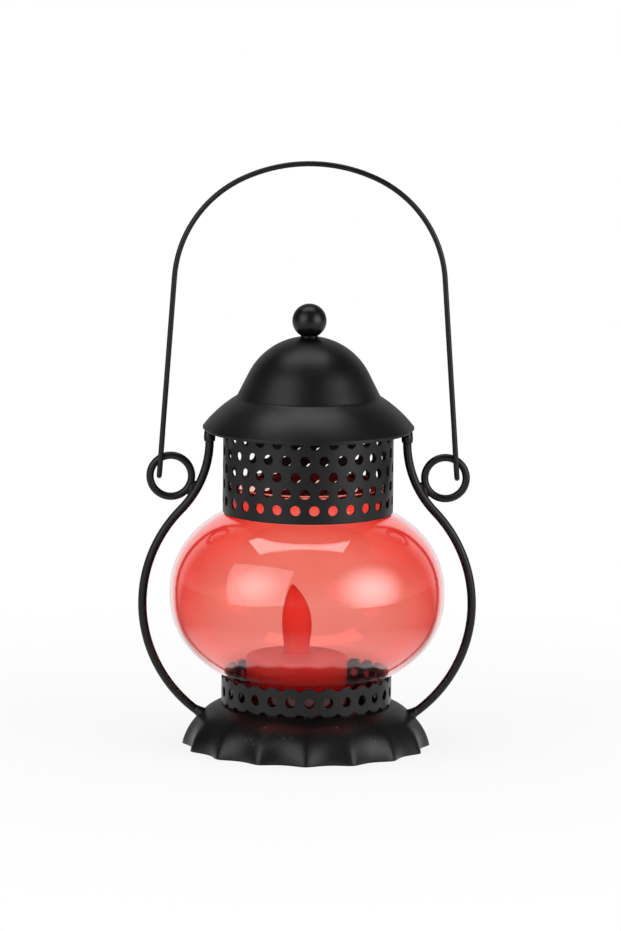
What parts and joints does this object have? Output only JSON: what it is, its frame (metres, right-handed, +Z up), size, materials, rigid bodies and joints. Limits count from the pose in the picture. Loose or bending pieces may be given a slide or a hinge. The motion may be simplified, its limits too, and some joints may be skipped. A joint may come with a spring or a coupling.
{
  "type": "hanging lantern",
  "caption": "Hanging lantern: red glass globe between perforated collars on a fluted foot, wire side arms, lift-off domed lid, swinging wire bail and a battery tea light inside.",
  "frame": {"origin": "middle of the base rim, on the plane that the lantern stands on", "axes": "+Z up along the lantern's axis, +X through the right-hand arm, -Y towards the viewer of the picture"},
  "size_m": [0.1256, 0.1024, 0.2189],
  "materials": {
    "black_paint": "matt",
    "red_glass": "gloss",
    "zinc_steel": "satin",
    "white_plastic": "satin",
    "flame_plastic": "satin",
    "led_epoxy": "gloss",
    "cell_steel": "satin",
    "contact_metal": "satin",
    "switch_plastic": "matt"
  },
  "bodies": {
    "frame": {"base_skirt": "black_paint", "lower_gallery": "black_paint", "globe": "red_glass", "upper_gallery": "black_paint", "top_ring": "black_paint", "arm_left": "black_paint", "arm_right": "black_paint", "ferrule_left": "black_paint", "ferrule_right": "black_paint", "eye_left": "black_paint", "eye_right": "black_paint", "eye_weld_left": "black_paint", "eye_weld_right": "black_paint", "foot_weld_left": "black_paint", "foot_weld_right": "black_paint"},
    "lid": {"lid_hood": "black_paint", "finial_ball": "black_paint", "finial_collar": "black_paint", "finial_washer": "zinc_steel", "finial_screw": "zinc_steel"},
    "bail": {"bail": "black_paint"},
    "tealight": {"tealight_cup": "white_plastic", "tealight_flame": "flame_plastic", "tealight_floor": "white_plastic", "tealight_battery": "cell_steel", "tealight_led_post": "white_plastic", "tealight_led": "led_epoxy", "tealight_contact_plus": "contact_metal", "tealight_contact_minus": "contact_metal"},
    "switch": {"tealight_switch": "switch_plastic"},
    "battery_door": {"tealight_door": "white_plastic"}
  },
  "joints": [
    {"name": "bail_swing", "type": "hinge", "parent": "frame", "child": "bail", "pos_m": [0, 0.00096, 0.1074], "axis": [1, 0, 0], "range_deg": [-140, 140]},
    {"name": "lid_lift", "type": "slide", "parent": "frame", "child": "lid", "axis": [0, 0, 1], "range_m": [0, 0.04]},
    {"name": "tealight_lift", "type": "slide", "parent": "frame", "child": "tealight", "axis": [0, 0, 1], "range_m": [0, 0.08]},
    {"name": "switch_slide", "type": "slide", "parent": "tealight", "child": "switch", "axis": [0, 1, 0], "range_m": [0, 0.0025]},
    {"name": "door_turn", "type": "hinge", "parent": "tealight", "child": "battery_door", "pos_m": [-0.0087, 0, 0.0169], "axis": [0, 0, 1], "range_deg": [0, 30]}
  ]
}
